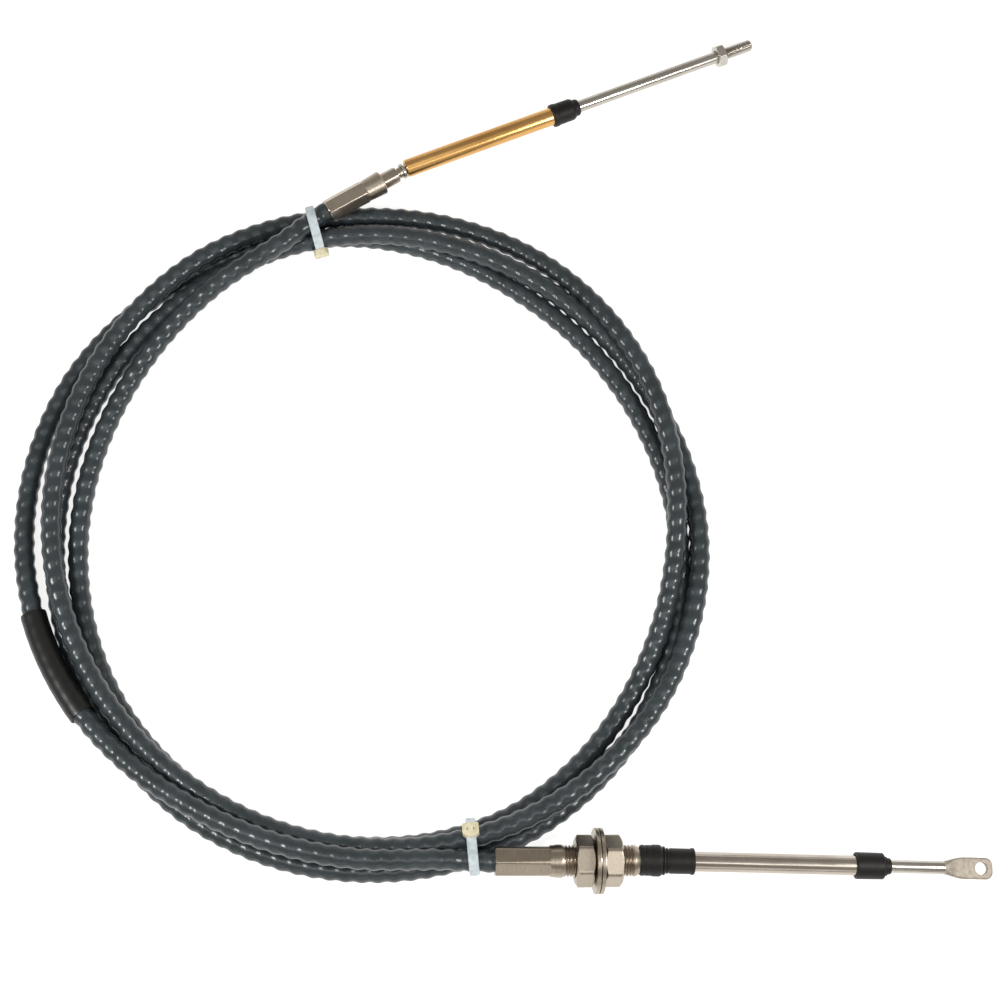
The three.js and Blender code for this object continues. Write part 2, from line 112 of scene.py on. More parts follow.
def coil_point(degrees):
    """The conduit's middle at this angle: a smooth curve through the stations, lifted near the ties."""
    last = len(stations) - 1
    i = next(k for k in range(last) if degrees <= stations[k + 1][0])
    here, there = stations[i], stations[i + 1]
    span = there[0] - here[0]
    part = (degrees - here[0]) / span
    values = []
    for axis in (1, 2):
        chord = (there[axis] - here[axis]) / span
        slopes = []
        for k in (i, i + 1):
            if k in (0, last):
                slopes.append(chord)
            else:
                before, at, after = stations[k - 1], stations[k], stations[k + 1]
                rise_in = (at[axis] - before[axis]) / (at[0] - before[0])
                rise_out = (after[axis] - at[axis]) / (after[0] - at[0])
                slopes.append((rise_in + rise_out) / 2)
        values.append(
            here[axis] * (1 + 2 * part) * (1 - part) ** 2
            + there[axis] * part ** 2 * (3 - 2 * part)
            + slopes[0] * span * part * (1 - part) ** 2
            - slopes[1] * span * part ** 2 * (1 - part)
        )
    apart = min(abs((degrees - at + 180) % 360 - 180) for at in tie_degrees)
    near = max(0.0, 1 - apart / lift_reach)
    height = values[1] + strap_lift * near * near * (3 - 2 * near)
    angle = math.radians(degrees)
    return coil_middle + Vector((values[0] * math.cos(angle), values[0] * math.sin(angle), height))


knots = [hub_axes_a @ Vector((x, 0, 0)) for x in (-hub_a_gap, -lead_length)]
knots += [coil_point(degrees) for degrees in range(coil_start[0], coil_end[0] + 1, step_degrees)]
knots += [hub_axes_b @ Vector((x, 0, 0)) for x in (-lead_length, socket_depth_b)]


def smooth_line(points, pieces):
    """Points along a centripetal Catmull-Rom curve, so that the line bends evenly between its knots."""
    ends = [2 * points[0] - points[1], *points, 2 * points[-1] - points[-2]]
    line = []
    for a, b, c, d in zip(ends, ends[1:], ends[2:], ends[3:]):
        t1 = (b - a).length ** 0.5
        t2 = t1 + (c - b).length ** 0.5
        t3 = t2 + (d - c).length ** 0.5
        for k in range(pieces):
            t = t1 + (t2 - t1) * k / pieces
            ab = a.lerp(b, t / t1)
            bc = b.lerp(c, (t - t1) / (t2 - t1))
            cd = c.lerp(d, (t - t2) / (t3 - t2))
            line.append(ab.lerp(bc, t / t2).lerp(bc.lerp(cd, (t - t1) / (t3 - t1)), (t - t1) / (t2 - t1)))
    return line + [points[-1]]


pieces_per_knot = 24
route = smooth_line(knots, pieces_per_knot)


def node(tree, kind, sockets=None, **settings):
    """Add a node with its settings. Each socket takes a value or another node's output."""
    made = tree.nodes.new(kind)
    for name, value in settings.items():
        setattr(made, name, value)
    for key, value in (sockets or {}).items():
        if isinstance(value, bpy.types.NodeSocket):
            tree.links.new(value, made.inputs[key])
        else:
            made.inputs[key].default_value = value
    return made


def linear(hex_colour):
    """An sRGB hex colour as linear red, green, blue and alpha."""
    parts = [int(hex_colour[i:i + 2], 16) / 255 for i in (1, 3, 5)]
    return [c / 12.92 if c <= 0.04045 else ((c + 0.055) / 1.055) ** 2.4 for c in parts] + [1.0]


def finish_tree(name):
    """An empty material and its tree, with a Principled shader wired to the output."""
    material = bpy.data.materials.new(name)
    material.use_nodes = True
    tree = material.node_tree
    tree.nodes.clear()
    shader = node(tree, "ShaderNodeBsdfPrincipled")
    node(tree, "ShaderNodeOutputMaterial", {"Surface": shader.outputs["BSDF"]})
    return material, tree, shader


# Extruded PVC: semi-gloss, with a faint cloudiness from the die and fine scuffs on the crests.
jacket_pvc, tree, shader = finish_tree("slate_pvc_jacket")
place = node(tree, "ShaderNodeTexCoord").outputs["Object"]
cloud = node(tree, "ShaderNodeTexNoise", {"Vector": place, "Scale": 90.0, "Detail": 4.0})
tone = node(tree, "ShaderNodeValToRGB", {"Fac": cloud.outputs["Fac"]})
tone.color_ramp.elements[0].color = linear("#293033")
tone.color_ramp.elements[0].position = 0.35
tone.color_ramp.elements[1].color = linear("#343b3f")
tone.color_ramp.elements[1].position = 0.65
tree.links.new(tone.outputs["Color"], shader.inputs["Base Color"])
scuff = node(tree, "ShaderNodeTexNoise", {"Vector": place, "Scale": 700.0, "Detail": 3.0})
gloss = node(tree, "ShaderNodeMapRange", {"Value": scuff.outputs["Fac"], "To Min": 0.22, "To Max": 0.32})
tree.links.new(gloss.outputs["Result"], shader.inputs["Roughness"])
grain = node(tree, "ShaderNodeBump", {"Height": scuff.outputs["Fac"], "Strength": 0.12, "Distance": 0.0001})
tree.links.new(grain.outputs["Normal"], shader.inputs["Normal"])


def tube_tree(name):
    """Geometry Nodes that sweep a round section along a line and wind one ridge round it."""
    tree = bpy.data.node_groups.new(name, "GeometryNodeTree")
    sides = tree.interface
    sides.new_socket("Line", in_out="INPUT", socket_type="NodeSocketGeometry")
    for label in ("Radius", "Ridge height", "Pitch", "Ring spacing"):
        sides.new_socket(label, in_out="INPUT", socket_type="NodeSocketFloat")
    sides.new_socket("Sides", in_out="INPUT", socket_type="NodeSocketInt")
    sides.new_socket("Finish", in_out="INPUT", socket_type="NodeSocketMaterial")
    sides.new_socket("Tube", in_out="OUTPUT", socket_type="NodeSocketGeometry")
    given = node(tree, "NodeGroupInput").outputs
    rings = node(tree, "GeometryNodeResampleCurve", {"Curve": given["Line"], "Length": given["Ring spacing"]},
                 mode="LENGTH")
    upright = node(tree, "GeometryNodeSetCurveNormal", {"Curve": rings.outputs["Curve"]}, mode="Z_UP")
    along = node(tree, "GeometryNodeCaptureAttribute", {"Geometry": upright.outputs["Curve"]})
    along.capture_items.new("FLOAT", "Length")
    along.capture_items.new("VECTOR", "Middle")
    tree.links.new(node(tree, "GeometryNodeSplineParameter").outputs["Length"], along.inputs["Length"])
    tree.links.new(node(tree, "GeometryNodeInputPosition").outputs["Position"], along.inputs["Middle"])
    circle = node(tree, "GeometryNodeCurvePrimitiveCircle",
                  {"Resolution": given["Sides"], "Radius": given["Radius"]})
    around = node(tree, "GeometryNodeCaptureAttribute", {"Geometry": circle.outputs["Curve"]})
    around.capture_items.new("FLOAT", "Factor")
    tree.links.new(node(tree, "GeometryNodeSplineParameter").outputs["Factor"], around.inputs["Factor"])
    line, ring = along.outputs["Geometry"], around.outputs["Geometry"]
    swept = node(tree, "GeometryNodeCurveToMesh", {"Curve": line, "Profile Curve": ring, "Fill Caps": True})
    turns = node(tree, "ShaderNodeMath", {0: along.outputs["Length"], 1: given["Pitch"]}, operation="DIVIDE")
    phase = node(tree, "ShaderNodeMath", {0: turns.outputs[0], 1: around.outputs["Factor"]},
                 operation="SUBTRACT")
    angle = node(tree, "ShaderNodeMath", {0: phase.outputs[0], 1: 2 * math.pi}, operation="MULTIPLY")
    wave = node(tree, "ShaderNodeMath", {0: angle.outputs[0]}, operation="SINE")
    rise = node(tree, "ShaderNodeMath", {0: wave.outputs[0], 1: given["Ridge height"]}, operation="MULTIPLY")
    position = node(tree, "GeometryNodeInputPosition").outputs["Position"]
    arm = node(tree, "ShaderNodeVectorMath", {0: position, 1: along.outputs["Middle"]}, operation="SUBTRACT")
    out = node(tree, "ShaderNodeVectorMath", {0: arm.outputs[0]}, operation="NORMALIZE")
    offset = node(tree, "ShaderNodeVectorMath", {0: out.outputs[0], "Scale": rise.outputs[0]},
                  operation="SCALE")
    ridged = node(tree, "GeometryNodeSetPosition",
                  {"Geometry": swept.outputs["Mesh"], "Offset": offset.outputs[0]})
    smooth = node(tree, "GeometryNodeSetShadeSmooth", {"Geometry": ridged.outputs["Geometry"]})
    real = node(tree, "GeometryNodeRealizeInstances", {"Geometry": smooth.outputs["Geometry"]})
    dressed = node(tree, "GeometryNodeSetMaterial",
                   {"Geometry": real.outputs["Geometry"], "Material": given["Finish"]})
    node(tree, "NodeGroupOutput", {"Tube": dressed.outputs["Geometry"]})
    return tree


def swept_tube(name, line, tree, **sizes):
    """The tree's tube along this line as a plain mesh object, its sizes given in metres."""
    curve = bpy.data.curves.new(name + "_line", "CURVE")
    curve.dimensions = "3D"
    spline = curve.splines.new("POLY")
    spline.points.add(len(line) - 1)
    for point, place in zip(spline.points, line):
        point.co = (*(place * MM), 1)
    holder = bpy.data.objects.new(name + "_line", curve)
    bpy.context.scene.collection.objects.link(holder)
    modifier = holder.modifiers.new("tube", "NODES")
    modifier.node_group = tree
    for item in tree.interface.items_tree:
        if item.in_out == "INPUT" and item.name in sizes:
            modifier[item.identifier] = sizes[item.name]
    mesh = bpy.data.meshes.new_from_object(holder.evaluated_get(bpy.context.evaluated_depsgraph_get()))
    mesh.name = name
    bpy.data.objects.remove(holder)
    made = bpy.data.objects.new(name, mesh)
    bpy.context.scene.collection.objects.link(made)
    return made


ridge_pitch = 7.9
ridge_height = 0.33
rings_per_pitch = 8
conduit_sides = 24
ridged_tube = tube_tree("ridged_tube")
conduit = swept_tube("conduit_jacket", route, ridged_tube, **{
    "Radius": conduit_diameter / 2 * MM,
    "Ridge height": ridge_height * MM,
    "Pitch": ridge_pitch * MM,
    "Ring spacing": ridge_pitch / rings_per_pitch * MM,
    "Sides": conduit_sides,
    "Finish": jacket_pvc,
})
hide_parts("conduit")
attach(conduit, "cable_body")

# Label sleeve. A black polyolefin shrink tube on the outermost turn, cut square at both ends and shrunk just
# enough to hold, so it lies a little flat and the ridges under it hardly show. It is left blank.
sleeve_span = (1272.4, 1292.9)
sleeve_outside = 13.0
sleeve_inside = 11.3
sleeve_flatness = 0.94


def set_as_mesh(name, points, faces, finish, corners=None):
    """A mesh object from points in millimetres, its doubles merged and its faces pointing out."""
    mesh = bpy.data.meshes.new(name)
    mesh.from_pydata((np.asarray(points, float) * MM).tolist(), [], faces)
    if corners is not None:
        layer = mesh.uv_layers.new(name="wrap_mm")
        layer.data.foreach_set("uv", np.asarray(corners, float).ravel())
    shell = bmesh.new()
    shell.from_mesh(mesh)
    bmesh.ops.remove_doubles(shell, verts=shell.verts, dist=1e-6)
    bmesh.ops.recalc_face_normals(shell, faces=shell.faces)
    shell.to_mesh(mesh)
    shell.free()
    mesh.shade_smooth()
    mesh.set_sharp_from_angle(angle=math.radians(34))
    mesh.materials.append(finish)
    made = bpy.data.objects.new(name, mesh)
    bpy.context.scene.collection.objects.link(made)
    return made


def grid_faces(rings, sides):
    """Four-sided faces between closed rings, and each corner's ring and side number."""
    faces, corners = [], []
    for i in range(rings - 1):
        for j in range(sides):
            k = (j + 1) % sides
            faces.append((i * sides + j, i * sides + k, (i + 1) * sides + k, (i + 1) * sides + j))
            corners += [(i, j), (i, j + 1), (i + 1, j + 1), (i + 1, j)]
    return faces, np.array(corners)


# Shrink tube: satin black, with a long soft sheen and faint marks where it was heated.
shrink_black, tree, shader = finish_tree("black_shrink_tube")
place = node(tree, "ShaderNodeTexCoord").outputs["Object"]
haze = node(tree, "ShaderNodeTexNoise", {"Vector": place, "Scale": 260.0, "Detail": 4.0})
gloss = node(tree, "ShaderNodeMapRange", {"Value": haze.outputs["Fac"], "To Min": 0.3, "To Max": 0.44})
tree.links.new(gloss.outputs["Result"], shader.inputs["Roughness"])
shader.inputs["Base Color"].default_value = linear("#0f0f0f")
grain = node(tree, "ShaderNodeBump", {"Height": haze.outputs["Fac"], "Strength": 0.2, "Distance": 0.0002})
tree.links.new(grain.outputs["Normal"], shader.inputs["Normal"])


def label_sleeve_mesh():
    sides = 48
    bead = 0.12
    line = [coil_point(sleeve_span[0] + (sleeve_span[1] - sleeve_span[0]) * k / 60) for k in range(61)]
    steps = [(0, sleeve_inside / 2), (0, sleeve_outside / 2 - bead), (0.4, sleeve_outside / 2)]
    middle = [(k, sleeve_outside / 2) for k in range(2, 59)]
    tail = [(59.6, sleeve_outside / 2), (60, sleeve_outside / 2 - bead), (60, sleeve_inside / 2)]
    back = [(k, sleeve_inside / 2) for k in range(58, 1, -1)]
    loop = steps + middle + tail + back + [(0, sleeve_inside / 2)]
    angle = np.linspace(0, 2 * math.pi, sides, endpoint=False)
    points = []
    for at, radius in loop:
        i = min(int(at), 59)
        centre = line[i].lerp(line[i + 1], at - i)
        ahead = (line[i + 1] - line[i]).normalized()
        side = ahead.cross(Vector((0, 0, 1))).normalized()
        up = side.cross(ahead)
        ripple = 1 + 0.006 * math.sin(2 * math.pi * at / 60 * 8)
        for a in angle:
            out = math.cos(a) * side + sleeve_flatness * math.sin(a) * up
            points.append(centre + radius * ripple * out)
    faces, _ = grid_faces(len(loop), sides)
    return set_as_mesh("sleeve_black", points, faces, shrink_black)


sleeve = label_sleeve_mesh()
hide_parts("label_sleeve")
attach(sleeve, "cable_body")

# Cable ties. Natural nylon 66, moulded in one piece: a flat strap drawn round all the strands and a head
# with a slot and a pawl, its spare tail cut off flush. The thin strap looks bluish and the head creamy.
strap_width = 4.8
strap_thickness = 1.2
strap_inner = 0.4
strap_edge = 0.3
head_width = 8.0
head_length = 6.8
head_height = 3.6
head_corners = (0.6, 1.5)
head_edge = 0.35
slit_aside = 1.6
slit_width = 0.36
slit_length = 1.4
slit_depth = 1.6
ties = {
    "top": {"heading": 105.5, "aside": -18.3, "lean": -8, "slide": 0.0},
    "bottom": {"heading": 275.7, "aside": 41.6, "lean": 64, "slide": -0.5},
}


def nylon_finish(name, dark, light):
    """Nylon: satin, faintly mottled, and lit from inside where it is thin."""
    material, tree, shader = finish_tree(name)
    place = node(tree, "ShaderNodeTexCoord").outputs["Object"]
    cloud = node(tree, "ShaderNodeTexNoise", {"Vector": place, "Scale": 420.0, "Detail": 3.0})
    tone = node(tree, "ShaderNodeValToRGB", {"Fac": cloud.outputs["Fac"]})
    tone.color_ramp.elements[0].color = linear(dark)
    tone.color_ramp.elements[0].position = 0.35
    tone.color_ramp.elements[1].color = linear(light)
    tone.color_ramp.elements[1].position = 0.65
    tree.links.new(tone.outputs["Color"], shader.inputs["Base Color"])
    shader.inputs["Roughness"].default_value = 0.36
    shader.inputs["Subsurface Weight"].default_value = 0.3
    shader.inputs["Subsurface Radius"].default_value = (0.0016, 0.0015, 0.0013)
    shader.inputs["Subsurface Scale"].default_value = 1.0
    grain = node(tree, "ShaderNodeBump",
                 {"Height": cloud.outputs["Fac"], "Strength": 0.2, "Distance": 0.0002})
    tree.links.new(grain.outputs["Normal"], shader.inputs["Normal"])
    return material


strap_nylon = nylon_finish("natural_nylon_strap", "#b2bec2", "#ccd5d8")
head_nylon = nylon_finish("natural_nylon_head", "#cbc29f", "#e0d9bd")


def crossings(axes, reach):
    """Where the conduit crosses the tie's plane and the ones beside it: distance along, and height."""
    back = axes.inverted()
    line = [back @ point for point in route]
    found = []
    for aside in (-reach, 0, reach):
        for a, b in zip(line, line[1:]):
            before, after = a.y - aside, b.y - aside
            if before * after > 0 or a.x < 0:
                continue
            point = a.lerp(b, before / (before - after))
            found.append(Vector((point.x, point.z)))
    return found


def round_outline(centres, rim, count=180):
    """A tight band round all these circles: a point and an outward direction for each step round it."""
    circle = [Vector((math.cos(t), math.sin(t))) for t in np.linspace(0, 2 * math.pi, count, endpoint=False)]
    band = []
    for out in circle:
        held = max(centres, key=lambda c: c.dot(out))
        if band and (held - band[-1][2]).length > 0.01:
            start = band[-1][0]
            end = held + rim * out
            for k in range(1, 8):
                band.append((start.lerp(end, k / 8), out, held))
        band.append((held + rim * out, out, held))
    return [(point, out) for point, out, _ in band]


def tie(name, heading, aside, lean, slide):
    """The strap as a band with rounded edges, joined to its head."""
    turn = Matrix.Rotation(math.radians(heading), 4, "Z")
    axes = Matrix.Translation(coil_middle + turn @ Vector((0, aside, 0))) @ turn
    band = round_outline(crossings(axes, strap_width / 2), conduit_diameter / 2 + strap_inner)
    half, thick, edge = strap_width / 2, strap_thickness, strap_edge
    section = [
        (0, edge - half), (edge, -half), (thick - edge, -half), (thick, edge - half),
        (thick, half - edge), (thick - edge, half), (edge, half), (0, half - edge),
    ]
    points = []
    for point, out in band:
        for rise, beside in section:
            flat = point + rise * out
            points.append(axes @ Vector((flat.x, beside, flat.y)))
    points += points[:len(section)]
    faces, _ = grid_faces(len(band) + 1, len(section))
    strap = set_as_mesh(name, points, faces, strap_nylon)
    strap.data.materials.append(head_nylon)
    angle = math.radians(180 - lean)
    out = Vector((math.cos(angle), math.sin(angle)))
    along = Vector((-out.y, out.x))
    held = max(crossings(axes, head_width / 2), key=lambda c: c.dot(out))
    seat = held + (conduit_diameter / 2 + strap_inner) * out + slide * along

    def prism(outline, low, high):
        """A block with this outline of (beside, along) points, from low to high above the seat."""
        shape = bmesh.new()
        corners = []
        for beside, ahead in outline:
            flat = seat + low * out + ahead * along
            corners.append(shape.verts.new((axes @ Vector((flat.x, beside, flat.y))) * MM))
        base = shape.faces.new(corners)
        raised = bmesh.ops.extrude_face_region(shape, geom=[base])["geom"]
        rise = (axes.to_3x3() @ Vector((out.x, 0, out.y))) * (high - low) * MM
        bmesh.ops.translate(shape, vec=rise, verts=[v for v in raised if isinstance(v, bmesh.types.BMVert)])
        bmesh.ops.recalc_face_normals(shape, faces=shape.faces)
        return shape

    def as_object(shape, label):
        mesh = bpy.data.meshes.new(label)
        shape.to_mesh(mesh)
        shape.free()
        made = bpy.data.objects.new(label, mesh)
        bpy.context.scene.collection.objects.link(made)
        return made

    wide, long = head_width / 2, head_length / 2
    far, near = head_corners
    outline = [
        (far - wide, long), (wide - far, long), (wide, long - far), (wide, near - long),
        (wide - near, -long), (near - wide, -long), (-wide, near - long), (-wide, long - far),
    ]
    shape = prism(outline, 0, head_height)
    bmesh.ops.bevel(shape, geom=shape.edges[:], offset=head_edge * MM, segments=3, affect="EDGES",
                    profile=0.6)
    head = as_object(shape, name + "_head")
    cutters = []
    narrow, tall = slit_width / 2, slit_length / 2
    for beside in (-slit_aside, slit_aside):
        left, right = beside - narrow, beside + narrow
        slit = [(left, -tall), (right, -tall), (right, tall), (left, tall)]
        cutters.append(as_object(prism(slit, head_height - slit_depth, head_height + 1), "slit"))
    for cutter in cutters:
        modifier = head.modifiers.new("cut", "BOOLEAN")
        modifier.object = cutter
        modifier.operation = "DIFFERENCE"
    joined = bmesh.new()
    joined.from_mesh(strap.data)
    strap_faces = len(joined.faces)
    graph = bpy.context.evaluated_depsgraph_get()
    joined.from_mesh(head.evaluated_get(graph).to_mesh())
    joined.faces.ensure_lookup_table()
    for face in joined.faces[strap_faces:]:
        face.material_index = 1
    joined.to_mesh(strap.data)
    joined.free()
    strap.data.shade_smooth()
    strap.data.set_sharp_from_angle(angle=math.radians(34))
    for helper in (head, *cutters):
        bpy.data.objects.remove(helper)
    return strap


for end, way in ties.items():
    band = tie("tie_" + end, **way)
    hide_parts("cable_tie_" + end)
    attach(band, "cable_body")

# Hub A. A steel sleeve swaged to a hexagon on the conduit's end, with a flared collar, a nose with spanner
# flats and a necked stem, nickel plated. The stem ends in the ball that the brass tube swivels on.
hub_a = {"flats": 10.8, "hex": 23.2, "collar": 12.8, "shoulder": 33.7, "nose": 8.8, "nose_end": 42.9}
stem_a = {"diameter": 6.0, "end": 47.6, "neck": 4.6, "ball_at": 51.0, "ball": 6.4}
hex_turn_a = 6
nose_flats = 8.1


def softened(outline, cut):
    """The outline with each corner rounded off and a line held on either side of it for clean shading."""
    closed = tuple(outline[0]) == tuple(outline[-1])
    corners = [np.array(p, float) for p in (outline[:-1] if closed else outline)]
    result = []
    for i, corner in enumerate(corners):
        if not closed and i in (0, len(corners) - 1):
            result.append(corner)
            continue
        back = corners[i - 1] - corner
        on = corners[(i + 1) % len(corners)] - corner
        length_back, length_on = np.hypot(*back), np.hypot(*on)
        back, on = back / length_back, on / length_on
        if back.dot(on) < -0.97:
            result.append(corner)
            continue
        near = min(cut, 0.3 * length_back, 0.3 * length_on)
        a, b = corner + near * back, corner + near * on
        result += [corner + 1.5 * near * back, a, (a + 2 * corner + b) / 4, b, corner + 1.5 * near * on]
    if closed:
        result.append(result[0])
    return np.array(result)


def turned(name, outline, axes, finish, sides=96, radius_at=None):
    """A piece turned about its X axis. radius_at changes the radius with the place along and round it."""
    outline = np.asarray(outline, float)
    angle = np.linspace(0, 2 * math.pi, sides, endpoint=False)
    along = np.repeat(outline[:, :1], sides, 1)
    radius = np.repeat(outline[:, 1:], sides, 1)
    if radius_at is not None:
        radius = radius_at(along, angle[None, :] + 0 * along, radius)
    spots = np.stack([along, radius * np.cos(angle), radius * np.sin(angle)], -1).reshape(-1, 3)
    turn = np.array(axes.to_3x3())
    points = spots @ turn.T + np.array(axes.translation)
    faces, corners = grid_faces(len(outline), sides)
    walk = np.concatenate([[0], np.cumsum(np.hypot(*np.diff(outline, axis=0).T))])
    widest = float(outline[:, 1].max())
    wrap = np.stack([corners[:, 1] * 2 * math.pi * widest / sides, walk[corners[:, 0]]], -1)
    return set_as_mesh(name, points, faces, finish, wrap)


def six_flats(angle, flats, turn=0.0):
    """The radius of a hexagon with a flat on top, its edges just broken."""
    part = (angle - math.radians(turn)) % (math.pi / 3) - math.pi / 6
    return np.minimum(flats / 2 / np.cos(part), flats / 2 * 1.1547 * 0.982)


def metal_finish(name, light, dark, rough, lines, line_depth, streak=(60.0, 0.4)):
    """A metal with fine machining lines: lines per millimetre across and streak stretch along them."""
    material, tree, shader = finish_tree(name)
    wrap = node(tree, "ShaderNodeUVMap", uv_map="wrap_mm").outputs["UV"]
    place = node(tree, "ShaderNodeTexCoord").outputs["Object"]
    shader.inputs["Metallic"].default_value = 1.0
    fine = node(tree, "ShaderNodeMapping", {"Vector": wrap, "Scale": (lines[0], lines[1], 1.0)})
    marks = node(tree, "ShaderNodeTexNoise", {"Vector": fine.outputs["Vector"], "Scale": 1.0, "Detail": 3.0})
    cloud = node(tree, "ShaderNodeTexNoise", {"Vector": place, "Scale": streak[0], "Detail": 4.0})
    both = node(tree, "ShaderNodeMix", {0: streak[1], 2: marks.outputs["Fac"], 3: cloud.outputs["Fac"]})
    tone = node(tree, "ShaderNodeValToRGB", {"Fac": both.outputs[0]})
    tone.color_ramp.elements[0].color = linear(dark)
    tone.color_ramp.elements[0].position = 0.3
    tone.color_ramp.elements[1].color = linear(light)
    tone.color_ramp.elements[1].position = 0.7
    tree.links.new(tone.outputs["Color"], shader.inputs["Base Color"])
    gloss = node(tree, "ShaderNodeMapRange",
                 {"Value": both.outputs[0], "To Min": rough[0], "To Max": rough[1]})
    tree.links.new(gloss.outputs["Result"], shader.inputs["Roughness"])
    bump = node(tree, "ShaderNodeBump",
                {"Height": marks.outputs["Fac"], "Strength": line_depth, "Distance": 0.00005})
    tree.links.new(bump.outputs["Normal"], shader.inputs["Normal"])
    return material


# Nickel-plated steel: warm grey and satin, with turning marks round it.
hub_nickel = metal_finish("satin_nickel_plate", "#c3b8a8", "#a2978a", (0.26, 0.42), (0.15, 5.0), 0.5)


def hub_a_radius(along, angle, radius):
    die = six_flats(angle, hub_a["flats"] + 0.02 * along, hex_turn_a)
    left_by_die = np.maximum(0, along - hub_a["hex"]) * 0.9
    radius = np.where(along < hub_a["shoulder"] - 0.1, np.minimum(radius, die + left_by_die), radius)
    on_nose = (along > hub_a["shoulder"] + 0.3) & (along < hub_a["nose_end"] + 0.01)
    on_nose &= radius > stem_a["diameter"] / 2
    return np.where(on_nose, np.minimum(radius, six_flats(angle, nose_flats, hex_turn_a)), radius)


def along_steps(start, end, radius_start, radius_end, count):
    return [(start + (end - start) * k / count, radius_start + (radius_end - radius_start) * k / count)
            for k in range(count + 1)]


hub_outline = [(0, 0), (0, 5.3), (0.4, 5.7), (0.6, 6.3)]
hub_outline += along_steps(1, hub_a["hex"] - 0.4, 6.3, 6.3, 12)
hub_outline += along_steps(hub_a["hex"], hub_a["hex"] + 2, 5.75, 5.9, 12)
hub_outline += [(hub_a["shoulder"] - 1, hub_a["collar"] / 2 - 0.05)]
hub_outline += [(hub_a["shoulder"] - 0.4, hub_a["collar"] / 2)]
hub_outline += [(hub_a["shoulder"], hub_a["collar"] / 2 - 0.35), (hub_a["shoulder"], hub_a["nose"] / 2)]
hub_outline += [(hub_a["nose_end"] - 0.4, hub_a["nose"] / 2), (hub_a["nose_end"], hub_a["nose"] / 2 - 0.4)]
hub_outline += softened([(hub_a["nose_end"], 3.9), (hub_a["nose_end"], stem_a["diameter"] / 2 - 0.5),
                         (hub_a["nose_end"] + 1.2, stem_a["diameter"] / 2 - 0.5),
                         (hub_a["nose_end"] + 1.2, stem_a["diameter"] / 2),
                         (stem_a["end"], stem_a["diameter"] / 2), (stem_a["end"], stem_a["neck"] / 2),
                         (stem_a["ball_at"] - 2, stem_a["neck"] / 2)], 0.25).tolist()
ball_start = math.asin(stem_a["neck"] / stem_a["ball"])
for k in range(13):
    sweep = math.pi - ball_start - (math.pi - ball_start) * k / 12
    radius = stem_a["ball"] / 2
    hub_outline.append((stem_a["ball_at"] + radius * math.cos(sweep), radius * math.sin(sweep)))
hub_body_a = turned("hub_a_plated", hub_outline, hub_axes_a, hub_nickel, radius_at=hub_a_radius)
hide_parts("hub_a")
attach(hub_body_a, "cable_body")

# Swivel ring. A small loose steel ring on the stem, between the hub and the brass tube.
ring_a = {"start": 45.9, "thickness": 1.4, "outside": 8.6, "inside": 6.6}
ring_steel = metal_finish("bright_washer_steel", "#d9d5cd", "#b9b3a9", (0.2, 0.34), (0.3, 6.0), 0.4)
low, high = ring_a["start"], ring_a["start"] + ring_a["thickness"]
ring_outline = [(low, ring_a["inside"] / 2), (low, ring_a["outside"] / 2), (high, ring_a["outside"] / 2),
                (high, ring_a["inside"] / 2), (low, ring_a["inside"] / 2)]
ring = turned("swivel_ring_steel", softened(ring_outline, 0.2), hub_axes_a, ring_steel, sides=64)
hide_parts("swivel_ring_a")
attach(ring, "cable_body")

# Support tube A. Drawn brass tube, bright, its end rolled in over the ball, so that it swivels there.
joints = {joint["name"]: joint for joint in frame["joints"]}


def joint_axes(swivel, slide):
    """The axes of a support tube: its origin is the swivel's ball, and X is the way its rod slides."""
    ahead = Vector(joints[slide]["axis"]).normalized()
    side = Vector((0, 0, 1)).cross(ahead).normalized()
    up = ahead.cross(side)
    turn = Matrix((ahead, side, up)).transposed().to_4x4()
    return Matrix.Translation(Vector(joints[swivel]["pos_m"]) / MM) @ turn


tube_axes_a = joint_axes("swivel_a", "rod_a_slide")
tube_a = {"outside": 9.5, "bore": 7.2, "mouth": 6.2, "lip": 9.0, "start": -2.4, "end": 93.6}

# Drawn brass: golden, fairly bright, with long drawing lines and a little brown tarnish.
drawn_brass = metal_finish("drawn_brass", "#e9bb78", "#cd9a5a", (0.2, 0.34), (4.0, 0.05), 0.35, (45.0, 0.55))
start, end = tube_a["start"], tube_a["end"]
brass_outline = [
    (start, tube_a["mouth"] / 2), (start, tube_a["lip"] / 2 - 0.3), (start + 0.3, tube_a["lip"] / 2),
    (start + 1.4, tube_a["outside"] / 2), (end, tube_a["outside"] / 2),
    (end, tube_a["bore"] / 2), (start + 1, tube_a["bore"] / 2), (start + 1, tube_a["mouth"] / 2),
    (start, tube_a["mouth"] / 2),
]
brass_tube = turned("support_tube_brass", softened(brass_outline, 0.3), tube_axes_a, drawn_brass)
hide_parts("support_tube_a")
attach(brass_tube, "swivel_tube_a")

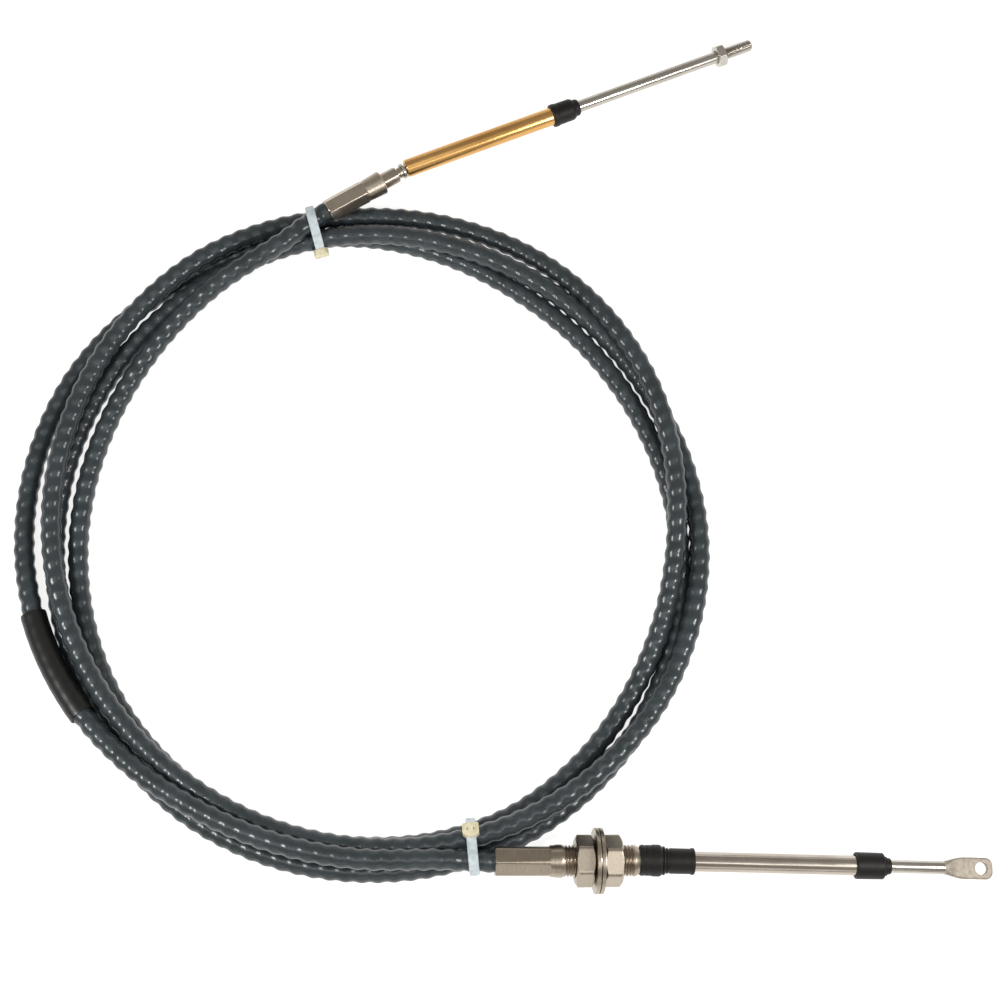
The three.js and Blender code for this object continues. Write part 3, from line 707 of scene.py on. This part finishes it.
# Wiper A. A moulded nitrile rubber cap pushed over the tube's end, with a lip at its mouth and a rounded
# nose that wipes the rod.
moulded_rubber, tree, shader = finish_tree("moulded_nitrile_rubber")
place = node(tree, "ShaderNodeTexCoord").outputs["Object"]
dust = node(tree, "ShaderNodeTexNoise", {"Vector": place, "Scale": 500.0, "Detail": 5.0})
tone = node(tree, "ShaderNodeValToRGB", {"Fac": dust.outputs["Fac"]})
tone.color_ramp.elements[0].color = linear("#0d0c0a")
tone.color_ramp.elements[1].color = linear("#171512")
tree.links.new(tone.outputs["Color"], shader.inputs["Base Color"])
gloss = node(tree, "ShaderNodeMapRange", {"Value": dust.outputs["Fac"], "To Min": 0.42, "To Max": 0.6})
tree.links.new(gloss.outputs["Result"], shader.inputs["Roughness"])
shader.inputs["Specular IOR Level"].default_value = 0.3
grain = node(tree, "ShaderNodeBump", {"Height": dust.outputs["Fac"], "Strength": 0.25, "Distance": 0.0002})
tree.links.new(grain.outputs["Normal"], shader.inputs["Normal"])

wiper_a_outline = [
    (83.3, 5.05), (83.3, 5.95), (83.7, 6.2), (85.6, 6.2), (86.6, 5.9), (90, 5.85), (94.6, 5.8), (95.9, 5.3),
    (96.4, 4.6), (98.4, 4.5), (99.2, 3.9), (99.2, 3.48), (93.9, 3.48), (93.9, 5.05), (83.3, 5.05),
]
wiper = turned("wiper_a_rubber", softened(wiper_a_outline, 0.4), tube_axes_a, moulded_rubber)
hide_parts("wiper_a")
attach(wiper, "swivel_tube_a")

# Push rod A. Ground stainless rod, its end rolled with a fine right-handed thread, a quarter of an inch at
# 28 turns to the inch, and a jam nut run down the thread.
rod_a = {"diameter": 6.35, "start": 55.0, "thread_start": 183.0, "tip": 204.1}
fine_pitch = 0.907
thread_depth = 0.46
bright_rod = metal_finish("ground_stainless_rod", "#cdc8c0", "#a9a39a", (0.16, 0.28), (2.5, 0.06), 0.35,
                          (50.0, 0.5))


def threaded(start, end, pitch, depth, runout):
    """A right-handed thread: a rounded triangle that winds along, fading in and out over its runout."""
    def radius_at(along, angle, radius):
        wave = np.abs(((along / pitch - angle / (2 * math.pi)) % 1) * 2 - 1)
        wave = np.clip(wave * 1.25 - 0.12, 0, 1)
        fade = np.clip((along - start) / runout, 0, 1) * np.clip((end - along) / 0.05, 0, 1)
        return radius - depth * wave * fade * (radius > depth * 3)
    return radius_at


rings = int((rod_a["tip"] - rod_a["thread_start"]) / fine_pitch * 10)
rod_radius = rod_a["diameter"] / 2
rod_outline = [(rod_a["start"], 0), (rod_a["start"], rod_radius)]
rod_outline += along_steps(rod_a["start"] + 5, rod_a["thread_start"] - 1, rod_radius, rod_radius, 24)
rod_outline += along_steps(rod_a["thread_start"], rod_a["tip"] - 0.9, rod_radius, rod_radius, rings)
rod_outline += along_steps(rod_a["tip"] - 0.85, rod_a["tip"], rod_radius - 0.025, 2.35, 8)
rod_outline += [(rod_a["tip"], 1.2), (rod_a["tip"], 0)]
push_rod = turned("push_rod_steel", rod_outline, tube_axes_a, bright_rod, sides=64,
                  radius_at=threaded(rod_a["thread_start"], rod_a["tip"] + 1, fine_pitch, thread_depth, 1.5))
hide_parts("rod_a")
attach(push_rod, "push_rod_a")

nut_a = {"start": 182.8, "thickness": 4.7, "flats": 11.1, "bore": 6.9}


def nut(name, start, thickness, flats, bore, axes, finish, turn=0.0):
    """A hexagon nut with its corners turned off at 30 degrees, and a countersunk bore."""
    corner = flats / 2 * 1.1547 * 0.982
    face = flats / 2 * 0.95
    rise = (corner - face) * math.tan(math.radians(30))
    low, high = start, start + thickness
    outline = [(low + 0.5, bore / 2), (low, bore / 2 + 0.5), (low, face)]
    outline += along_steps(low + 0.02, low + rise, face + 0.05, corner, 8)
    outline += along_steps(low + rise + 0.2, high - rise - 0.2, corner, corner, 6)
    outline += along_steps(high - rise, high - 0.02, corner, face + 0.05, 8)
    outline += [(high, face), (high, bore / 2 + 0.5), (high - 0.5, bore / 2), (low + 0.5, bore / 2)]
    return turned(name, outline, axes @ Matrix.Rotation(math.radians(turn), 4, "X"), finish, sides=120,
                  radius_at=lambda along, angle, radius: np.minimum(radius, six_flats(angle, flats)))


jam_nut = nut("jam_nut_steel", **nut_a, axes=tube_axes_a, finish=ring_steel)
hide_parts("jam_nut_a")
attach(jam_nut, "push_rod_a")

# Hub B. A bulkhead hub turned from stainless bar: swaged to a hexagon on the conduit, then a collar, a long
# coarse thread for the two bulkhead nuts, and a nose with the socket of the swivel's ball.
hub_b = {"flats": 13.1, "hex": 27.3, "thread_start": 32.9, "thread": 15.1, "thread_end": 67.2}
nose_b = {"start": 70.0, "diameter": 11.4, "end": 80.0, "mouth": 8.6}
hex_turn_b = -24
coarse_pitch = 1.6
coarse_depth = 0.9
hub_stainless = metal_finish("turned_stainless", "#b9ad9d", "#8d8375", (0.24, 0.4), (0.2, 4.0), 0.5)


def hub_b_radius(along, angle, radius):
    die = six_flats(angle, hub_b["flats"] + 0.02 * along, hex_turn_b)
    left_by_die = np.maximum(0, along - hub_b["hex"] + 1.2) * 0.9
    radius = np.where(along < hub_b["thread_start"] - 0.5, np.minimum(radius, die + left_by_die), radius)
    wave = np.abs(((along / coarse_pitch - angle / (2 * math.pi)) % 1) * 2 - 1)
    wave = np.clip(wave * 1.3 - 0.12, 0, 1)
    fade = np.clip(along - hub_b["thread_start"], 0, 1)
    fade *= np.clip((hub_b["thread_end"] - along) / 0.8, 0, 1)
    return radius - coarse_depth * wave * fade


rings = int((hub_b["thread_end"] - hub_b["thread_start"]) / coarse_pitch * 10)
hub_b_outline = [(0, 0), (0, 6.9), (0.4, 7.35)]
hub_b_outline += along_steps(1, hub_b["hex"] - 2, 7.4, 7.45, 12)
hub_b_outline += along_steps(hub_b["hex"] - 1.6, hub_b["hex"] + 1.2, 7.45, 7.6, 14)
hub_b_outline += [(hub_b["hex"] + 2.4, 7.85), (hub_b["hex"] + 3, 7.9), (hub_b["thread_start"] - 1, 7.9)]
hub_b_outline += [(hub_b["thread_start"] - 0.5, 7.8), (hub_b["thread_start"] - 0.1, 7.55)]
hub_b_outline += along_steps(hub_b["thread_start"], hub_b["thread_end"], hub_b["thread"] / 2,
                             hub_b["thread"] / 2, rings)
hub_b_outline += [(hub_b["thread_end"] + 0.2, 7.5), (hub_b["thread_end"] + 1.6, 6.9), (nose_b["start"], 6.3)]
hub_b_outline += [(nose_b["start"], nose_b["diameter"] / 2), (nose_b["end"] - 0.4, nose_b["diameter"] / 2)]
hub_b_outline += [(nose_b["end"], nose_b["diameter"] / 2 - 0.4), (nose_b["end"], nose_b["mouth"] / 2)]
hub_b_outline += [(nose_b["end"] - 6, nose_b["mouth"] / 2), (nose_b["end"] - 6, 0)]
hub_body_b = turned("hub_b_stainless", hub_b_outline, hub_axes_b, hub_stainless, radius_at=hub_b_radius)
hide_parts("hub_b")
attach(hub_body_b, "cable_body")

# Bulkhead nuts and washers. Stainless nuts milled from hexagon bar, and two plain washers between them,
# which clamp on either side of the bulkhead.
bulkhead_nut = {"flats": 22.0, "thickness": 9.0, "bore": 15.7, "first": 38.7, "second_turn": 7}
washer = {"outside": 31.6, "thickness": 1.9}
clearance = 0.3
nut_stainless = metal_finish("milled_stainless", "#baaf9f", "#908678", (0.22, 0.38), (0.6, 3.0), 0.45)
place_along = bulkhead_nut["first"]
for number, kind in enumerate(("nut", "washer", "washer", "nut")):
    count = (number + 1) // 2 if kind == "washer" else 1 + number // 3
    if kind == "nut":
        made = nut(f"bulkhead_nut_{count}_steel", place_along, bulkhead_nut["thickness"],
                   bulkhead_nut["flats"], bulkhead_nut["bore"], hub_axes_b, nut_stainless,
                   turn=bulkhead_nut["second_turn"] * (count - 1))
        thickness = bulkhead_nut["thickness"]
        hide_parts(f"bulkhead_nut_{count}")
    else:
        thickness = washer["thickness"]
        low, high = place_along, place_along + thickness
        inner, outer = bulkhead_nut["bore"] / 2, washer["outside"] / 2
        loop = [(low, inner), (low, outer), (high, outer), (high, inner), (low, inner)]
        made = turned(f"washer_{number}_steel", softened(loop, 0.35), hub_axes_b, nut_stainless)
        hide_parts(f"washer_{number}")
    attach(made, "cable_body")
    place_along += thickness + clearance

# Support tube B. Drawn stainless tube with a ball welded in its end, polished along its length.
tube_axes_b = joint_axes("swivel_b", "rod_b_slide")
tube_b = {"outside": 9.5, "bore": 7.2, "neck": 6.4, "neck_end": 5.0, "end": 110.0, "ball": 9.0}
tube_edge = 0.35
polished_tube = metal_finish("polished_stainless_tube", "#c9c1b6", "#a59c90", (0.15, 0.27), (3.0, 0.05), 0.35,
                             (45.0, 0.5))
ball_meets_neck = math.asin(tube_b["neck"] / tube_b["ball"])
tube_outline = []
for k in range(13):
    sweep = math.pi - (math.pi - ball_meets_neck) * k / 12
    tube_outline.append((tube_b["ball"] / 2 * math.cos(sweep), tube_b["ball"] / 2 * math.sin(sweep)))
wide, bore, begin = tube_b["outside"] / 2, tube_b["bore"] / 2, tube_b["neck_end"]
tube_outline += [(begin - 0.5, tube_b["neck"] / 2), (begin - 0.5, wide - tube_edge), (begin, wide)]
tube_outline += [(along, wide) for along in (8, 30, 60, 90, tube_b["end"] - 0.4)]
tube_outline += [(tube_b["end"], wide - tube_edge), (tube_b["end"], bore), (100, bore), (begin + 1, bore)]
tube_outline += [(begin + 1, 0)]
steel_tube = turned("support_tube_steel", tube_outline, tube_axes_b, polished_tube)
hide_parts("support_tube_b")
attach(steel_tube, "swivel_tube_b")

# Boot. Moulded nitrile rubber over the swivel: a cuff on the hub's nose with a bulge round the ball, two
# grooves where it gives, and a sleeve on the tube that ends in a bead.
boot_start = -7.6
boot_profile = [
    (boot_start, 6.45), (boot_start, 7.1), (-7.2, 7.35), (-5.9, 7.4), (-5.6, 7.1), (-5.2, 7.1), (-4.9, 7.35),
    (-2.2, 7.3), (-1.6, 7.55), (1.6, 7.6), (2.6, 7.2), (2.9, 6.5), (3.3, 6.4), (3.6, 6.9), (4.3, 6.8),
    (4.6, 5.9), (5.0, 5.8), (5.3, 6.15), (5.9, 6.1), (6.2, 5.7), (6.6, 5.7), (7.0, 6.1), (17.0, 6.05),
    (17.3, 6.4), (18.4, 6.4), (18.8, 6.1), (18.8, 5.05), (3.2, 5.05), (2.6, 6.45), (boot_start, 6.45),
]
boot = turned("boot_rubber", softened(boot_profile, 0.25), tube_axes_b, moulded_rubber)
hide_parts("boot_b")
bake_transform(boot)

# Wiper B. The same rubber, with a square mouth and a stepped nose.
wiper_b_outline = [
    (98, 5.05), (98, 6.2), (98.3, 6.45), (111.2, 6.35), (111.6, 6.1), (111.7, 5.0), (112.2, 4.75),
    (113.3, 4.6), (113.5, 4.0), (115.1, 3.85), (115.3, 3.48), (110.3, 3.48), (110.3, 5.05), (98, 5.05),
]
wiper = turned("wiper_b_rubber", softened(wiper_b_outline, 0.35), tube_axes_b, moulded_rubber)
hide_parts("wiper_b")
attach(wiper, "swivel_tube_b")

# Push rod B. Ground stainless rod, its end pressed flat in a die and drilled, which leaves a dull dimpled
# eye with softly rounded edges.
rod_b = {"diameter": 6.35, "start": 40.0, "taper": 141.8, "eye": 148.3, "tip": 165.7, "hole_at": 160.1}
eye_b = {"width": 10.4, "thickness": 3.0, "hole": 6.4, "corner": 3.4, "spread": 10.5}
pressed_eye = metal_finish("pressed_stainless_eye", "#bfb6a9", "#91887d", (0.6, 0.74), (0.6, 0.6), 1.0,
                           (500.0, 0.6))


def rod_b_mesh():
    """Rings that go from the round rod to the flat eye, with the hole cut through and its edges eased."""
    sides = 64
    half_width, half_thick, round_radius = eye_b["width"] / 2, eye_b["thickness"] / 2, rod_b["diameter"] / 2
    corner = eye_b["corner"]
    centre = rod_b["tip"] - corner
    rings = [(rod_b["start"], 0, 0, 2.0), (rod_b["start"], round_radius, round_radius, 2.0)]
    for k in range(25):
        along = rod_b["start"] + 1 + (rod_b["taper"] - rod_b["start"] - 1) * k / 24
        rings.append((along, round_radius, round_radius, 2.0))
    for k in range(1, 17):
        along = eye_b["spread"] * k / 16
        spread = math.sin(math.pi / 2 * k / 16) ** 1.4
        pressed = min(1.0, along / (rod_b["eye"] - rod_b["taper"]))
        ease = pressed * pressed * (3 - 2 * pressed)
        rings.append((rod_b["taper"] + along, round_radius + (half_width - round_radius) * spread,
                      round_radius + (half_thick - round_radius) * ease, 2.0 + 4.0 * ease))
    for k in range(1, 7):
        rings.append((rings[-1][0] + (centre - rings[-1][0]) * k / 6, half_width, half_thick, 6.0))
    for k in range(1, 17):
        sweep = math.pi / 2 * k / 16
        width = half_width - corner * (1 - math.cos(sweep))
        thick = half_thick * (0.7 + 0.3 * math.cos(sweep))
        rings.append((centre + corner * math.sin(sweep), width, thick, 6.0))
    points = []
    for along, wide, thick, power in rings:
        for j in range(sides):
            a = 2 * math.pi * j / sides
            c, s = math.cos(a), math.sin(a)
            y = wide * math.copysign(abs(c) ** (2 / power), c)
            z = thick * math.copysign(abs(s) ** (2 / power), s)
            points.append(tube_axes_b @ Vector((along, y, z)))
    faces, corners = grid_faces(len(rings), sides)
    end = len(points) - sides
    along = np.array([ring[0] for ring in rings])
    wrap = np.stack([corners[:, 1] * 2 * math.pi * 3.2 / sides, along[corners[:, 0]]], -1)
    points.append(tube_axes_b @ Vector((rod_b["tip"], 0, 0)))
    faces += [(end + j, end + (j + 1) % sides, len(points) - 1) for j in range(sides)]
    wrap = np.concatenate([wrap, np.tile([[0.0, rod_b["tip"]]], (3 * sides, 1))])
    blade = set_as_mesh("rod_eye_steel", points, faces, bright_rod, wrap)
    blade.data.materials.append(pressed_eye)
    cutter = bpy.data.meshes.new("eye_hole")
    drill = bmesh.new()
    bmesh.ops.create_cone(drill, cap_ends=True, segments=48, radius1=eye_b["hole"] / 2 * MM,
                          radius2=eye_b["hole"] / 2 * MM, depth=10 * MM)
    place = Matrix.Translation(tube_axes_b @ Vector((rod_b["hole_at"], 0, 0)) * MM)
    place = place @ tube_axes_b.to_3x3().to_4x4()
    bmesh.ops.transform(drill, matrix=place, verts=drill.verts)
    drill.to_mesh(cutter)
    drill.free()
    tool = bpy.data.objects.new("eye_hole", cutter)
    bpy.context.scene.collection.objects.link(tool)
    modifier = blade.modifiers.new("hole", "BOOLEAN")
    modifier.object = tool
    modifier.operation = "DIFFERENCE"
    whole = bpy.data.meshes.new_from_object(blade.evaluated_get(bpy.context.evaluated_depsgraph_get()))
    blade.modifiers.clear()
    bpy.data.objects.remove(tool)
    blade.data = whole
    back = tube_axes_b.inverted()
    for face in whole.polygons:
        if (back @ (face.center / MM)).x > rod_b["taper"] - 0.5:
            face.material_index = 1
    whole.shade_smooth()
    whole.set_sharp_from_angle(angle=math.radians(40))
    return blade


rod_with_eye = rod_b_mesh()
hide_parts("rod_b")
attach(rod_with_eye, "push_rod_b")

# Floor. A plain white sheet of lit acrylic that the cable lies on, so that it keeps almost no shadow.
floor_size = 4.0
floor_sheet, tree, shader = finish_tree("white_acrylic_floor")
shader.inputs["Base Color"].default_value = linear("#a8a7a5")
shader.inputs["Roughness"].default_value = 0.9
shader.inputs["Emission Color"].default_value = (1, 1, 1, 1)
shader.inputs["Emission Strength"].default_value = 0.82
bpy.ops.mesh.primitive_plane_add(size=floor_size, location=(0, 0, 0))
floor = bpy.context.object
floor.name = "floor"
floor.data.materials.append(floor_sheet)

# Light. A dim room with a small lamp on each side, a long thin strip that draws the bright line on the tubes,
# a low box in front, a pale one behind and a weak one overhead.
world = bpy.data.worlds.new("studio")
bpy.context.scene.world = world
world.use_nodes = True
world.node_tree.nodes["Background"].inputs["Color"].default_value = linear("#f2eee8")
world.node_tree.nodes["Background"].inputs["Strength"].default_value = 0.42
for name, place, wide, high, power in (
    ("overhead", (0.0, -0.25, 1.7), 0.8, 0.8, 1.7),
    ("left_lamp", (-0.5, -0.22, 0.52), 0.12, 0.12, 2.3),
    ("right_lamp", (0.5, -0.22, 0.52), 0.12, 0.12, 2.3),
    ("long_strip", (0.0, -0.345, 0.58), 1.2, 0.12, 0.95),
    ("front_box", (0.0, -1.7, 0.55), 1.4, 0.6, 2.0),
    ("back_box", (0.0, 1.8, 0.5), 1.6, 0.4, 1.8),
):
    lamp = bpy.data.lights.new(name, "AREA")
    lamp.shape = "RECTANGLE"
    lamp.size = wide
    lamp.size_y = high
    lamp.energy = power
    light = bpy.data.objects.new(name, lamp)
    light.location = place
    light.rotation_euler = (-Vector(place)).to_track_quat("-Z", "Y").to_euler()
    bpy.context.scene.collection.objects.link(light)
bpy.context.scene.view_settings.view_transform = "Standard"
